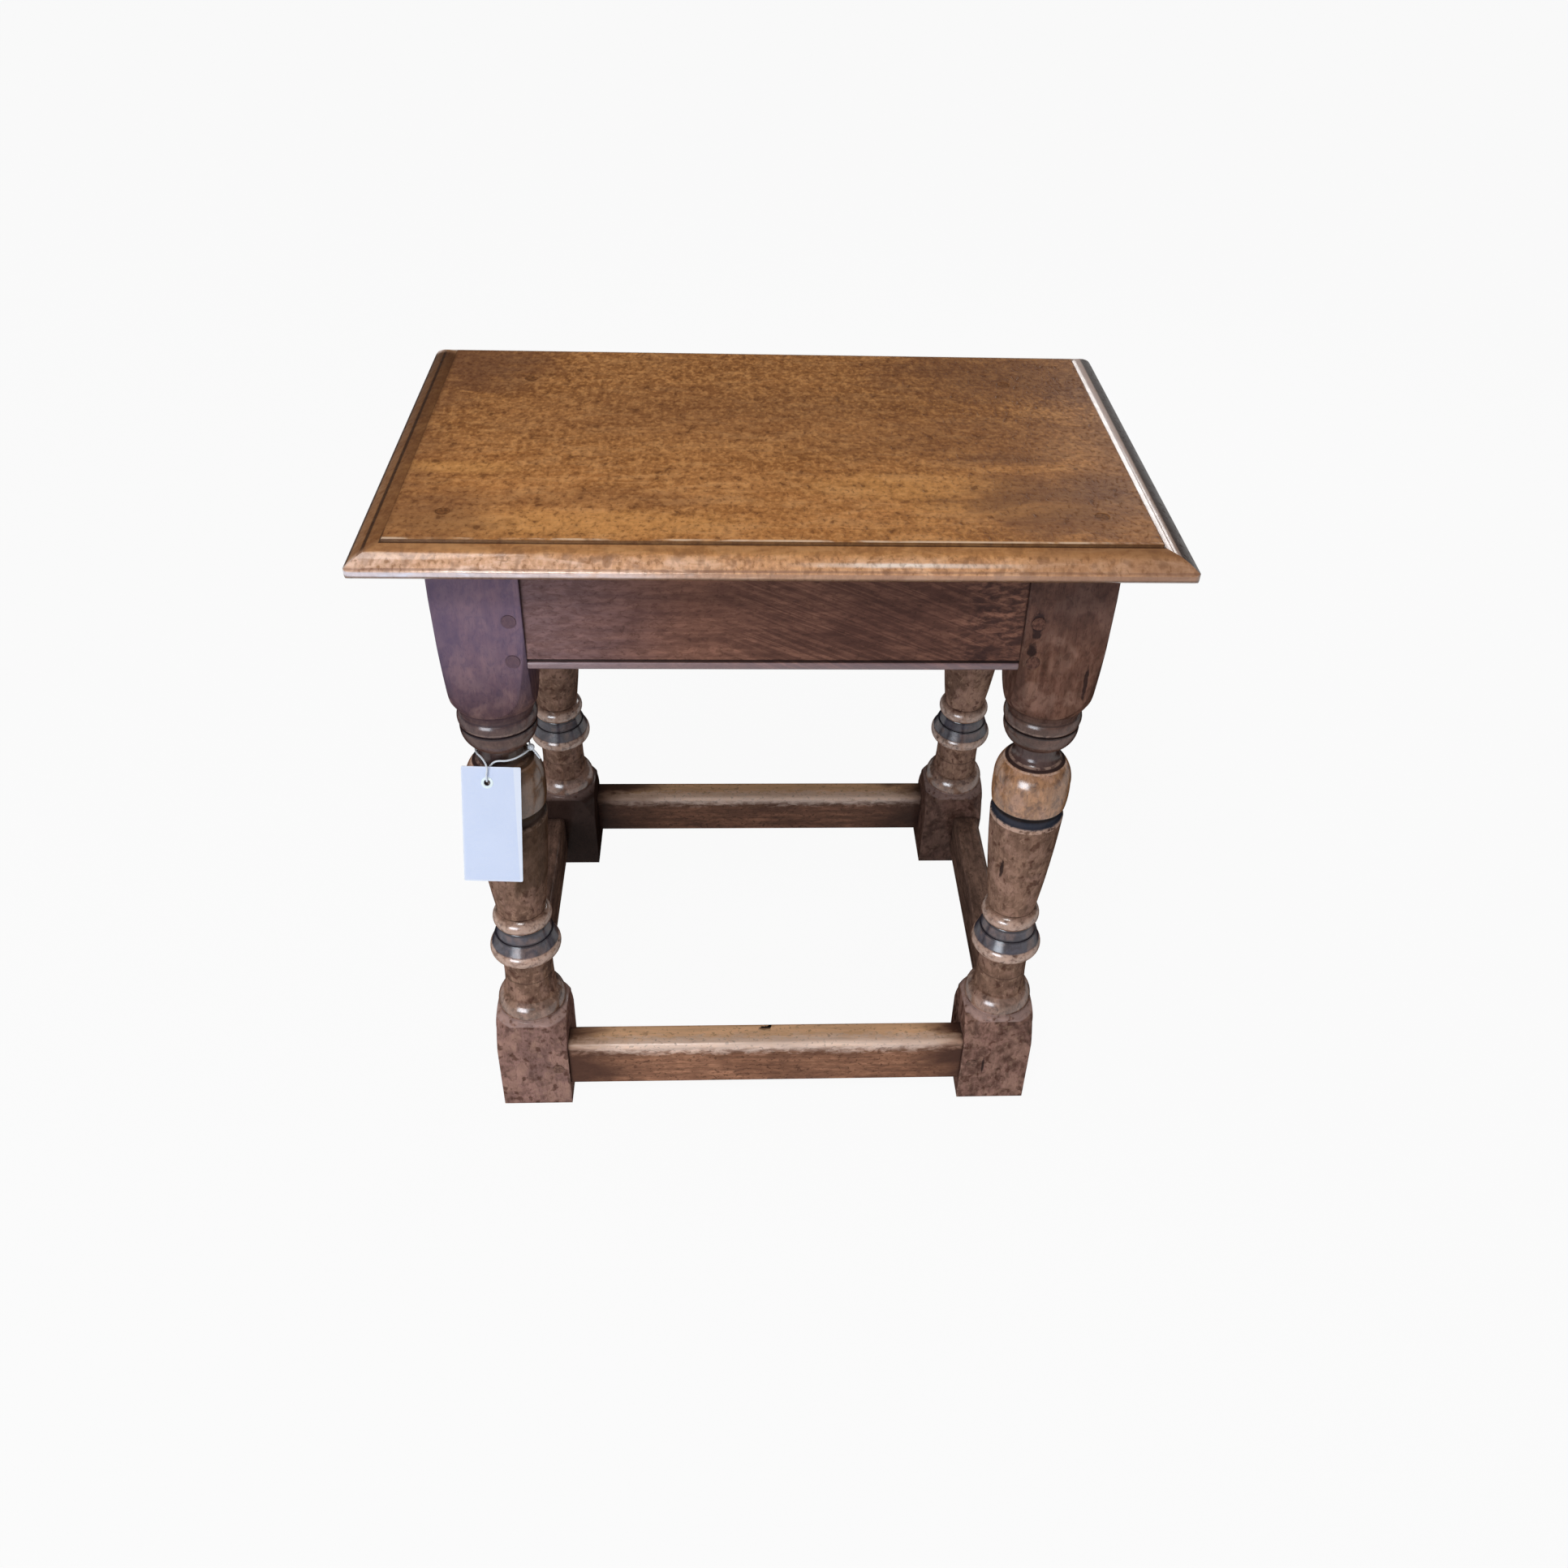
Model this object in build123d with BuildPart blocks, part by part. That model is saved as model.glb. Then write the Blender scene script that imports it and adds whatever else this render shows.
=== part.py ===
from build123d import *

import os
from math import cos, degrees, hypot, radians, sin, tan

os.makedirs("parts", exist_ok=True)

# A joint stool: a moulded board pegged to a frame of four turned legs, four aprons and four
# stretchers, held by pegged mortise and tenon joints. A blank swing tag hangs from one leg.
# The origin is on the floor under the middle of the board, +X along the board's length,
# -Y towards the front, +Z up. All sizes are in millimetres.

# ---- Board ----
stool_height = 458
top_length = 457
top_width = 290
top_thickness = 16
moulding_width = 18
quirk_depth = 1.6
nose_height = 5.8
under_round = 5
under_swell = 0.8
thumb_swell = 2.1
edge_overcut = 1
top_corner_radius = 4

# ---- Legs ----
end_overhang = 37
side_overhang = 21
leg_section = 50
foot_section = 49
leg_lean = 3.6
foot_wear = 1.2

# ---- Turning, lengths measured along the leg, from the foot up ----
foot_block = 82.5
foot_crown = 28.5
foot_shoulder = 10.5
bead_length = 14
column_length = 35.5
rim_length = 10.5
dish_length = 15.5
ring_length = 11.5
groove_length = 0.5

# ---- Turning, lengths measured along the leg, from the board down ----
top_block = 104
block_crown = 81
block_shoulder = 19
collar_length = 15
bell_length = 16.5
neck_length = 6.5
cove_length = 6
bulb_shoulder = 16.5
bulb_length = 16.8
scotia_length = 9

# ---- Turning, radii ----
turning_allowance = 0.4
foot_shoulder_rise = 5.5
block_shoulder_rise = 6.5
block_taper = 2.3
bead_cut = 1.7
column_radius = 17.8
dish_radius = 17
ring_radius = 16.8
ring_swell = 3.2
vase_foot_radius = 16.2
scotia_depth = 2.2
neck_radius = 13.4
cove_radius = 18
collar_cut = 2.2

# ---- Aprons and stretchers ----
apron_height = 70
apron_thickness = 20
apron_setback = 2.5
bead_width = 6
bead_depth = 1.2
stretcher_clearance = 18.5
stretcher_height = 38
stretcher_thickness = 20
stretcher_setback = 3
stretcher_wear = 3

# ---- Mortise and tenon joints ----
tenon_thickness = 8
tenon_shoulder = 6
tenon_gap = 6
apron_haunch = 14
apron_tenon_foot = 1
stretcher_tenon_shoulder = 6
mortise_fit = 0.2

# ---- Pegs ----
peg_diameter = 8
peg_bite = 12
peg_inset = 7.5
peg_fit = 0.1
peg_proud = 0.4
apron_peg_levels = (7, 33)
stretcher_peg_level = 17.5
top_peg_clearance = 3
top_peg_sunk = 0.2
top_peg_fit = 0.1
front_top_peg = (16.5, 3)
rear_top_peg = (-11, 17)

# ---- Swing tag ----
tag_width = 36
tag_length = 73
tag_thickness = 0.6
tag_corner = 0.8
tag_tilt = 25
tag_turn = 2.6
tag_hole = 4
tag_hole_inset = 10
tag_hole_offset = 2.4
tag_side = 6.7
tag_nestle = 1.4
tag_drop = 11.1
eyelet_diameter = 7.2
eyelet_thickness = 0.3
string_diameter = 1.2
knot_diameter = 4.4

# ---- What follows from them ----
frame_top = stool_height - top_thickness
leg_x = top_length / 2 - end_overhang - leg_section / 2
lean = radians(leg_lean)
foot_y = top_width / 2 - side_overhang - leg_section / 2 + frame_top * tan(lean)
leg_length = frame_top / cos(lean)
spare = 12
bead_radius = foot_section / 2 - bead_cut
disc_radius = foot_section / 2 - 2 * turning_allowance
bulb_radius = leg_section / 2 - turning_allowance
collar_radius = leg_section / 2 - collar_cut
apron_bottom = frame_top - apron_height
stretcher_top = stretcher_clearance + stretcher_height
top_peg_length = top_thickness - top_peg_sunk + apron_haunch - top_peg_clearance
neck_height = (leg_length - top_block - collar_length - bell_length - neck_length / 2) * cos(lean)
sides = [(side_x, side_y) for side_y in (-1, 1) for side_x in (-1, 1)]
place_names = {(-1, -1): "front_left", (1, -1): "front_right", (-1, 1): "rear_left", (1, 1): "rear_right"}


def leaning_frame(side_y, x=0):
    """The plane of a leg or of the rails beside it: X along the stool, Z up the leaning leg."""
    return Plane(origin=(x, side_y * foot_y, 0), x_dir=(1, 0, 0), z_dir=(0, -side_y * sin(lean), cos(lean)))


def leg_axis_y(height):
    """How far a leg's axis stands from the middle of the stool at a height above the floor."""
    return foot_y - height * tan(lean)


def save(part, name):
    part.label = name
    export_step(part, f"parts/{name}.step")


def swollen_line(start, end, swell):
    """A line of a turned outline, which swells away from the axis, or hollows if swell is negative."""
    if swell == 0:
        Line(start, end)
        return
    length = hypot(end[0] - start[0], end[1] - start[1])
    across = ((end[1] - start[1]) / length, (start[0] - end[0]) / length)
    middle = ((start[0] + end[0]) / 2 + swell * across[0], (start[1] + end[1]) / 2 + swell * across[1])
    ThreePointArc(start, middle, end)


# ---- The board: the same thumb moulding on all four sides, mitred at the corners ----


def board_outline(width):
    """The moulded edge in section, X outward, Y up, running a little past the edge, which the plan trims."""
    edge = width / 2
    field = edge - moulding_width
    past = edge + edge_overcut
    quirk_floor = top_thickness - quirk_depth
    with BuildLine() as half:
        Line((0, 0), (edge - under_round, 0))
        swollen_line((edge - under_round, 0), (past, under_round), under_swell)
        Line((past, under_round), (past, nose_height))
        swollen_line((past, nose_height), (field, quirk_floor), thumb_swell)
        Polyline((field, quirk_floor), (field, top_thickness), (0, top_thickness))
        mirror(about=Plane.YZ)
    make_face(half.edges())


def top_peg_places():
    """Where the board's four pegs stand: outside the front legs' axes, inside the rear ones."""
    places = []
    for side_x, side_y in sides:
        out, inward = front_top_peg if side_y < 0 else rear_top_peg
        places.append((side_x * (leg_x + out), side_y * (leg_axis_y(frame_top) - inward)))
    return places


def drill_top_pegs(depth):
    """The holes for the board's pegs, drilled from its upper face."""
    with BuildSketch(Plane.XY.offset(stool_height)) as holes:
        with Locations(top_peg_places()):
            Circle(peg_diameter / 2 + top_peg_fit)
    extrude(holes.sketch, amount=-depth, mode=Mode.SUBTRACT)


with BuildPart() as seat_top:
    with BuildSketch(Plane.YZ.shift_origin((0, 0, frame_top))):
        board_outline(top_width)
    extrude(amount=top_length / 2 + edge_overcut, both=True)
    with BuildSketch(Plane.XZ.shift_origin((0, 0, frame_top))):
        board_outline(top_length)
    extrude(amount=top_width / 2 + edge_overcut, both=True, mode=Mode.INTERSECT)
    with BuildSketch(Plane.XY.offset(frame_top)):
        RectangleRounded(top_length, top_width, top_corner_radius)
    extrude(amount=top_thickness, mode=Mode.INTERSECT)
    drill_top_pegs(top_thickness)
save(seat_top.part, "seat_top")

with BuildPart() as top_pegs:
    with BuildSketch(Plane.XY.offset(stool_height - top_peg_sunk)):
        with Locations(top_peg_places()):
            Circle(peg_diameter / 2)
    extrude(amount=-top_peg_length)
save(top_pegs.part, "top_pegs")


# ---- Joints: where the tenons and pegs are, for the legs and the rails alike ----


def block_section(kind):
    return leg_section if kind == "apron" else foot_section


def rail_setback(kind):
    return apron_setback if kind == "apron" else stretcher_setback


def rail_tenon(kind):
    """A rail joint's heights up the leg, and its tenon's faces out from the leg's axis."""
    outer = block_section(kind) / 2 - rail_setback(kind) - tenon_shoulder
    if kind == "apron":
        return apron_bottom + apron_tenon_foot, frame_top - apron_haunch, outer - tenon_thickness, outer
    low = stretcher_clearance + stretcher_tenon_shoulder
    return low, stretcher_top - stretcher_tenon_shoulder, outer - tenon_thickness, outer


def end_tenon_bar(kind, side_y, fit=0.0):
    """One bar through a front or rear rail, whose two ends are its tenons or, wider, their mortises."""
    low, high, inner, outer = rail_tenon(kind)
    reach = leg_x + inner - tenon_gap + fit
    with BuildSketch(leaning_frame(side_y).offset(low - fit)) as bar:
        with Locations((0, side_y * (inner + outer) / 2)):
            Rectangle(2 * reach, outer - inner + 2 * fit)
    extrude(bar.sketch, amount=high - low + 2 * fit, mode=Mode.SUBTRACT if fit else Mode.ADD)


def side_tenon_bar(kind, side_x, fit=0.0):
    """One bar through a left or right rail, level from front to rear."""
    low, high, inner, outer = rail_tenon(kind)
    reach = leg_axis_y((low + high) / 2) + inner - tenon_gap + fit
    with BuildSketch(Plane.XY.offset(low - fit)) as bar:
        with Locations((side_x * (leg_x + (inner + outer) / 2), 0)):
            Rectangle(outer - inner + 2 * fit, 2 * reach)
    extrude(bar.sketch, amount=high - low + 2 * fit, mode=Mode.SUBTRACT if fit else Mode.ADD)


def peg_points(kind):
    """A joint's peg heights up the leg and how far each peg stands inward of the leg's axis."""
    inward = block_section(kind) / 2 - peg_inset
    if kind == "apron":
        return [(inward, apron_bottom + level) for level in apron_peg_levels]
    return [(inward, stretcher_clearance + stretcher_peg_level)]


def pegs(kind, side_x, side_y, mode, faces=("end", "side")):
    """A leg's joint pegs, or their holes: from its front or rear face, and from its side face.

    They pass through the tenons and end in the wood behind them.
    """
    frame = leaning_frame(side_y, side_x * leg_x)
    hole = mode == Mode.SUBTRACT
    radius = peg_diameter / 2 + (peg_fit if hole else 0)
    proud = 0 if hole else peg_proud
    depth = rail_setback(kind) + tenon_shoulder + tenon_thickness + peg_bite + (peg_fit if hole else 0)
    face = block_section(kind) / 2 + proud
    if "end" in faces:
        outer_face = Plane(origin=frame.origin + frame.y_dir * side_y * face, x_dir=frame.x_dir,
                           z_dir=-frame.y_dir)
        with BuildSketch(outer_face) as end_pegs:
            with Locations([(-side_x * inward, height) for inward, height in peg_points(kind)]):
                Circle(radius)
        extrude(end_pegs.sketch, amount=side_y * (depth + proud), mode=mode)
    if "side" in faces:
        outer_face = Plane(origin=frame.origin + frame.x_dir * side_x * face, x_dir=frame.y_dir,
                           z_dir=frame.x_dir)
        with BuildSketch(outer_face) as side_pegs:
            with Locations([(-side_y * inward, height) for inward, height in peg_points(kind)]):
                Circle(radius)
        extrude(side_pegs.sketch, amount=-side_x * (depth + proud), mode=mode)


# ---- Legs: square blocks above and below, turned between them ----


def turning_outline():
    """Half of the turned outline: radius and height of each point, and the swell up to the next one.

    Above and below the turning the outline stays outside the square blocks, whose corners it
    rounds off where the lathe meets them.
    """
    clear = leg_section
    foot_corner = foot_section / 2 * 1.43
    top_corner = leg_section / 2 * 1.43
    bead_foot = foot_block + groove_length
    column_foot = bead_foot + bead_length
    rim_foot = column_foot + groove_length + column_length
    dish_foot = rim_foot + rim_length
    ring_foot = dish_foot + dish_length
    vase_foot = ring_foot + ring_length + 2 * groove_length
    block_foot = leg_length - top_block
    collar_foot = block_foot - collar_length
    bell_foot = collar_foot - bell_length
    cove_top = bell_foot - neck_length
    bulb_top = cove_top - cove_length
    bulb_middle = bulb_top - bulb_shoulder
    scotia_top = bulb_middle - bulb_length
    scotia_foot = scotia_top - scotia_length
    return [
        # the foot's rounded shoulder, and the bead that sits on it
        (clear, -spare, 0), (clear, foot_block - foot_crown, 0), (foot_corner, foot_block - foot_crown, 0.4),
        (foot_section / 2 + foot_shoulder_rise, foot_block - foot_shoulder, 1.8),
        (foot_section / 2 - turning_allowance, foot_block, 0),
        (bead_radius, bead_foot, 2.2), (column_radius + 1.4, column_foot, 0),
        # the short column under the dished disc
        (column_radius, column_foot + groove_length, -0.8), (column_radius - 0.4, rim_foot - groove_length, 0),
        (disc_radius - 2.4, rim_foot, 2.2), (disc_radius - 1.4, dish_foot, 0),
        (dish_radius + 2.6, dish_foot + dish_length / 2, 0), (dish_radius + 1.8, dish_foot + dish_length / 2, 0),
        # the ring under the vase
        (dish_radius, ring_foot, 0), (ring_radius, ring_foot + groove_length, ring_swell),
        (ring_radius - 0.4, vase_foot - groove_length, 0), (vase_foot_radius - 0.8, vase_foot, 0),
        # the vase, cut through by a wide groove, and its shoulder
        (vase_foot_radius, vase_foot + groove_length, 0.9), (bulb_radius - 0.9, scotia_foot, 0),
        (bulb_radius - 0.5 - scotia_depth, scotia_foot + 2 * groove_length, 0),
        (bulb_radius - scotia_depth, scotia_top - groove_length, 0),
        (bulb_radius - 0.8, scotia_top, 0.5), (bulb_radius - 0.1, bulb_middle, 1.8),
        (cove_radius + 0.8, bulb_top, 0), (cove_radius - 0.3, bulb_top + groove_length, -1.0),
        # the neck, the bell over it and the collar under the block
        (neck_radius, cove_top, 0), (neck_radius, bell_foot - groove_length, 0),
        (neck_radius + 0.8, bell_foot, 3.0), (collar_radius + 0.4, collar_foot - groove_length, 0),
        (collar_radius - 1, collar_foot, 0), (collar_radius, collar_foot + groove_length, 1.5),
        (collar_radius - 0.4, block_foot - 5, 0), (collar_radius + 0.6, block_foot - 1.5, 0),
        # the block's rounded shoulder
        (leg_section / 2 - turning_allowance, block_foot, 1.3),
        (leg_section / 2 + block_shoulder_rise, block_foot + block_shoulder, 1.1),
        (top_corner, block_foot + block_crown, 0), (clear, block_foot + block_crown, 0),
        (clear, leg_length + spare, 0),
    ]


def turn(frame):
    """Cuts the squared stock round where the lathe reaches it."""
    outline = turning_outline()
    with BuildSketch(Plane(origin=frame.origin, x_dir=frame.x_dir, z_dir=-frame.y_dir)) as half:
        with BuildLine():
            for (radius, height, swell), (next_radius, next_height, _) in zip(outline, outline[1:]):
                swollen_line((radius, height), (next_radius, next_height), swell)
            Polyline((outline[-1][0], outline[-1][1]), (0, outline[-1][1]), (0, outline[0][1]),
                     (outline[0][0], outline[0][1]))
        make_face()
    revolve(half.sketch, axis=Axis(frame.origin, frame.z_dir), mode=Mode.INTERSECT)


def taper_block(frame, side_x):
    """Planes the top block's outer side, which comes in towards the turning."""
    face = leg_section / 2
    block_foot = leg_length - top_block
    with BuildSketch(Plane(origin=frame.origin, x_dir=frame.x_dir, z_dir=-frame.y_dir)) as waste:
        with BuildLine() as outline:
            Polyline((side_x * face, block_foot + block_crown),
                     (side_x * (face - block_taper), block_foot + groove_length),
                     (side_x * leg_section, block_foot), (side_x * leg_section, block_foot + block_crown),
                     close=True)
        make_face(outline.edges())
    extrude(waste.sketch, amount=leg_section, both=True, mode=Mode.SUBTRACT)


def leg(side_x, side_y):
    frame = leaning_frame(side_y, side_x * leg_x)
    waist = foot_block + bead_length + column_length / 2
    with BuildPart() as stock:
        with BuildSketch(frame.offset(-spare)):
            Rectangle(foot_section, foot_section)
        extrude(amount=leg_length / 2 + spare)
        with BuildSketch(frame.offset(leg_length / 2)):
            Rectangle(leg_section, leg_section)
        extrude(amount=leg_length / 2 + spare)
        with BuildSketch(frame.offset(waist)):
            Rectangle(leg_section, leg_section)
        extrude(amount=leg_length / 2 - waist)
        turn(frame)
        taper_block(frame, side_x)
        split(bisect_by=Plane.XY.offset(frame_top), keep=Keep.BOTTOM)
        split(bisect_by=Plane.XY, keep=Keep.TOP)
        chamfer(stock.faces().sort_by(Axis.Z)[0].edges(), foot_wear)
        for kind in ("apron", "stretcher"):
            end_tenon_bar(kind, side_y, mortise_fit)
            side_tenon_bar(kind, side_x, mortise_fit)
            pegs(kind, side_x, side_y, Mode.SUBTRACT)
        drill_top_pegs(top_peg_length + top_peg_sunk + mortise_fit)
    return stock.part


for side_x, side_y in sides:
    save(leg(side_x, side_y), f"leg_{place_names[side_x, side_y]}")


# ---- Rails: aprons under the board, stretchers near the floor ----


def rail_outline(kind):
    """A rail's cross-section: X outward from the leg's axis, Y up."""
    if kind == "apron":
        face = leg_section / 2 - apron_setback
        back = face - apron_thickness
        over = frame_top + spare
        with BuildLine() as outline:
            Polyline((face - bead_depth, apron_bottom), (back, apron_bottom), (back, over), (face, over),
                     (face, apron_bottom + bead_width + bead_depth),
                     (face - bead_depth, apron_bottom + bead_width))
            ThreePointArc((face - bead_depth, apron_bottom + bead_width),
                          (face, apron_bottom + bead_width / 2), (face - bead_depth, apron_bottom))
        make_face(outline.edges())
        return
    face = foot_section / 2 - stretcher_setback
    with Locations((face - stretcher_thickness / 2, stretcher_clearance + stretcher_height / 2)):
        Rectangle(stretcher_thickness, stretcher_height)


def soften_stretcher(part, kind):
    """The long upper edges of a stretcher, worn round by feet."""
    if kind == "stretcher":
        long_edges = part.edges().filter_by(GeomType.LINE).group_by(SortBy.LENGTH)[-1]
        fillet(long_edges.sort_by(Axis.Z)[-2:], stretcher_wear)


def end_rail(kind, side_y):
    """A rail between two front legs or two rear ones, leaning with them."""
    frame = leaning_frame(side_y)
    half = leg_x - block_section(kind) / 2
    with BuildPart() as rail:
        with BuildSketch(Plane(origin=frame.origin, x_dir=frame.y_dir * side_y, z_dir=frame.x_dir * side_y)):
            rail_outline(kind)
        extrude(amount=half, both=True)
        soften_stretcher(rail, kind)
        split(bisect_by=Plane.XY.offset(frame_top), keep=Keep.BOTTOM)
        end_tenon_bar(kind, side_y)
        for side_x in (-1, 1):
            pegs(kind, side_x, side_y, Mode.SUBTRACT, faces=("end",))
    return rail.part


def side_rail(kind, side_x):
    """A rail between a front leg and a rear one, its shoulders cut to their lean."""
    with BuildPart() as rail:
        with BuildSketch(Plane(origin=(side_x * leg_x, 0, 0), x_dir=(side_x, 0, 0), z_dir=(0, -side_x, 0))):
            rail_outline(kind)
        extrude(amount=foot_y, both=True)
        soften_stretcher(rail, kind)
        split(bisect_by=Plane.XY.offset(frame_top), keep=Keep.BOTTOM)
        for side_y in (-1, 1):
            frame = leaning_frame(side_y)
            inner_face = frame.origin - frame.y_dir * side_y * block_section(kind) / 2
            split(bisect_by=Plane(origin=inner_face, z_dir=frame.y_dir * side_y), keep=Keep.BOTTOM)
        side_tenon_bar(kind, side_x)
        for side_y in (-1, 1):
            pegs(kind, side_x, side_y, Mode.SUBTRACT, faces=("side",))
    return rail.part


for kind in ("apron", "stretcher"):
    for side_y, name in ((-1, "front"), (1, "rear")):
        save(end_rail(kind, side_y), f"{kind}_{name}")
    for side_x, name in ((-1, "left"), (1, "right")):
        save(side_rail(kind, side_x), f"{kind}_{name}")

# ---- Joint pegs: one group for each leg's apron joints and one for its stretcher joints ----

for kind in ("apron", "stretcher"):
    for side_x, side_y in sides:
        with BuildPart() as joint_pegs:
            pegs(kind, side_x, side_y, Mode.ADD)
        save(joint_pegs.part, f"{kind}_pegs_{place_names[side_x, side_y]}")

# ---- Swing tag: a blank card that hangs in front of the front left leg ----

neck = Vector(-leg_x, -leg_axis_y(neck_height), neck_height)
tag_pivot = neck - Vector(tag_side, bulb_radius - tag_nestle, tag_drop)
tilt = radians(tag_tilt)
card_face = Plane(origin=tag_pivot, x_dir=(1, 0, 0), z_dir=(0, -cos(tilt), sin(tilt))).rotated((0, 0, -tag_turn))
print("tag pivot, mm:", tag_pivot, "neck, mm:", neck)

with BuildPart() as swing_tag:
    with BuildSketch(card_face.offset(-tag_thickness / 2)):
        with Locations((tag_hole_offset, tag_hole_inset - tag_length / 2)):
            RectangleRounded(tag_width, tag_length, tag_corner)
        Circle(tag_hole / 2, mode=Mode.SUBTRACT)
    extrude(amount=tag_thickness)
save(swing_tag.part, "swing_tag")

with BuildPart() as tag_eyelet:
    with BuildSketch(card_face.offset(tag_thickness / 2)):
        Circle(eyelet_diameter / 2)
        Circle(tag_hole / 2, mode=Mode.SUBTRACT)
    extrude(amount=eyelet_thickness)
save(tag_eyelet.part, "tag_eyelet")

# The string, by points counted from the middle of the leg's neck or from the tag's hole: from its knot
# round the back of the neck, over the card's upper edge, down its face, through the hole and up behind
# it to the knot.
round_neck_points = [
    (17.4, -0.9, 0.0),
    (15.5, 8.3, 0.1),
    (8.0, 14.6, -0.3),
    (-2.0, 15.6, -0.6),
    (-11.7, 11.0, -0.6),
    (-16.0, 1.6, -0.2),
    (-14.7, -8.2, 0.5),
    (-9.4, -14.9, 1.4),
]
hole_points = [
    (1.0, 2.3, 9.8),
    (-0.1, -0.2, 5.5),
    (0.0, -0.9, 1.5),
    (0.0, 1.5, 0.4),
    (0.1, 3.8, 3.2),
    (1.2, 6.1, 7.5),
]
to_knot_points = [
    (-1.8, -15.7, 0.0),
    (6.1, -16.2, -0.1),
    (13.5, -11.3, 0.1),
    (17.7, -4.8, 0.0),
]
string_route = [neck + Vector(*point) for point in round_neck_points]
string_route += [tag_pivot + Vector(*point) for point in hole_points]
string_route += [neck + Vector(*point) for point in to_knot_points]
knot_point = (18.3, -2.8, 0.1)
tail_point = (23.6, -5.6, -6.6)
knot_centre = neck + Vector(*knot_point)
tail_end = neck + Vector(*tail_point)


def bend_radii(points):
    """Each corner's radius: 0.45 of its shorter run, over the tangent of half its turn."""
    runs = [end - start for start, end in zip(points, points[1:])]
    return [0.45 * min(before.length, after.length) / tan(radians(before.get_angle(after)) / 2)
            for before, after in zip(runs, runs[1:])]


string_radii = bend_radii(string_route)
print("string bend radii, mm:", [round(radius, 1) for radius in string_radii])

with BuildPart() as tag_string:
    with BuildLine() as path:
        FilletPolyline(*string_route, radius=string_radii)
    with BuildSketch(Plane(origin=path.line @ 0, z_dir=path.line % 0)):
        Circle(string_diameter / 2)
    sweep(path=path.line)
save(tag_string.part, "tag_string")
string_length = path.wire().length
section_volume = 3.14159265 * (string_diameter / 2) ** 2 * string_length
print(f"string length {string_length:.1f} mm, volume {tag_string.part.volume:.2f} of {section_volume:.2f} mm3")

with BuildPart() as string_knot:
    with Locations(knot_centre):
        Sphere(knot_diameter / 2)
    tail = tail_end - knot_centre
    with BuildSketch(Plane(origin=knot_centre, z_dir=tail)):
        Circle(string_diameter / 2)
    extrude(amount=tail.length)
save(string_knot.part, "string_knot")
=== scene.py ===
from math import cos, radians, sin, tan
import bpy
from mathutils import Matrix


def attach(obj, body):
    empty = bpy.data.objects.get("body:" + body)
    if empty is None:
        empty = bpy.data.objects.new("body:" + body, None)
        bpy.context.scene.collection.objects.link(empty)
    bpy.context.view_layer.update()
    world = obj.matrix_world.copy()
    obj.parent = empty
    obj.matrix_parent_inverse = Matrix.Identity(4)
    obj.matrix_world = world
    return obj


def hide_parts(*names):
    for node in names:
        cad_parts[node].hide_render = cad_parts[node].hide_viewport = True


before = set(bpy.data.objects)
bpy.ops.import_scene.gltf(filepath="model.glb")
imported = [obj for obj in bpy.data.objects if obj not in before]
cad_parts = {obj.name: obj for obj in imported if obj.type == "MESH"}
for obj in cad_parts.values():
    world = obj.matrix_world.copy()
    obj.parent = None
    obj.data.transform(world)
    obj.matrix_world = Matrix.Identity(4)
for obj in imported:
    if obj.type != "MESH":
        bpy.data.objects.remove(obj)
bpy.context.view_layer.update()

from types import SimpleNamespace

import bpy
from mathutils import Matrix, Vector

# A joint stool of old oak. Everything is in metres, in the stool's own frame: the origin is on the
# floor under the middle of the board, +X along the board, -Y towards the front, +Z up.

# ---------------------------------------------------------------- camera

SENSOR_WIDTH = 36
FRAME_PIXELS = 1932
FOCAL_PIXELS = 1619.313
AXIS_PIXEL = (985.576, 923.694)
PITCH, YAW, ROLL = radians(38.921), radians(3.85), radians(2.369)
CAMERA_PLACE = (-0.025515, -0.744687, 0.814618)


def place_camera():
    ahead = Vector((sin(YAW) * cos(PITCH), cos(YAW) * cos(PITCH), -sin(PITCH)))
    level = Vector((cos(YAW), -sin(YAW), 0))
    across = level * cos(ROLL) + level.cross(ahead) * sin(ROLL)
    up = level.cross(ahead) * cos(ROLL) - level * sin(ROLL)
    lens = bpy.data.cameras.new("camera")
    lens.sensor_width = SENSOR_WIDTH
    lens.lens = SENSOR_WIDTH * FOCAL_PIXELS / FRAME_PIXELS
    lens.shift_x = 0.5 - AXIS_PIXEL[0] / FRAME_PIXELS
    lens.shift_y = AXIS_PIXEL[1] / FRAME_PIXELS - 0.5
    camera = bpy.data.objects.new("camera", lens)
    turn = Matrix((across, up, -ahead)).transposed().to_4x4()
    camera.matrix_world = Matrix.Translation(CAMERA_PLACE) @ turn
    bpy.context.scene.collection.objects.link(camera)
    bpy.context.scene.camera = camera


place_camera()

# ---------------------------------------------------------------- tag string

NECK = Vector((-0.1665, -0.107712, 0.303524))
TAG_HOLE = Vector((-0.1732, -0.130912, 0.292424))
STRING_THICKNESS, STRING_LENGTH = 0.0012, 0.1231
# the string's route in millimetres: round the neck, through the tag's hole and back to the knot
ROUND_NECK = [(17.4, -0.9, 0.0), (15.5, 8.3, 0.1), (8.0, 14.6, -0.3), (-2.0, 15.6, -0.6),
              (-11.7, 11.0, -0.6), (-16.0, 1.6, -0.2), (-14.7, -8.2, 0.5), (-9.4, -14.9, 1.4)]
THROUGH_HOLE = [(1.0, 2.3, 9.8), (-0.1, -0.2, 5.5), (0.0, -0.9, 1.5), (0.0, 1.5, 0.4),
                (0.1, 3.8, 3.2), (1.2, 6.1, 7.5)]
TO_KNOT = [(-1.8, -15.7, 0.0), (6.1, -16.2, -0.1), (13.5, -11.3, 0.1), (17.7, -4.8, 0.0)]


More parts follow.
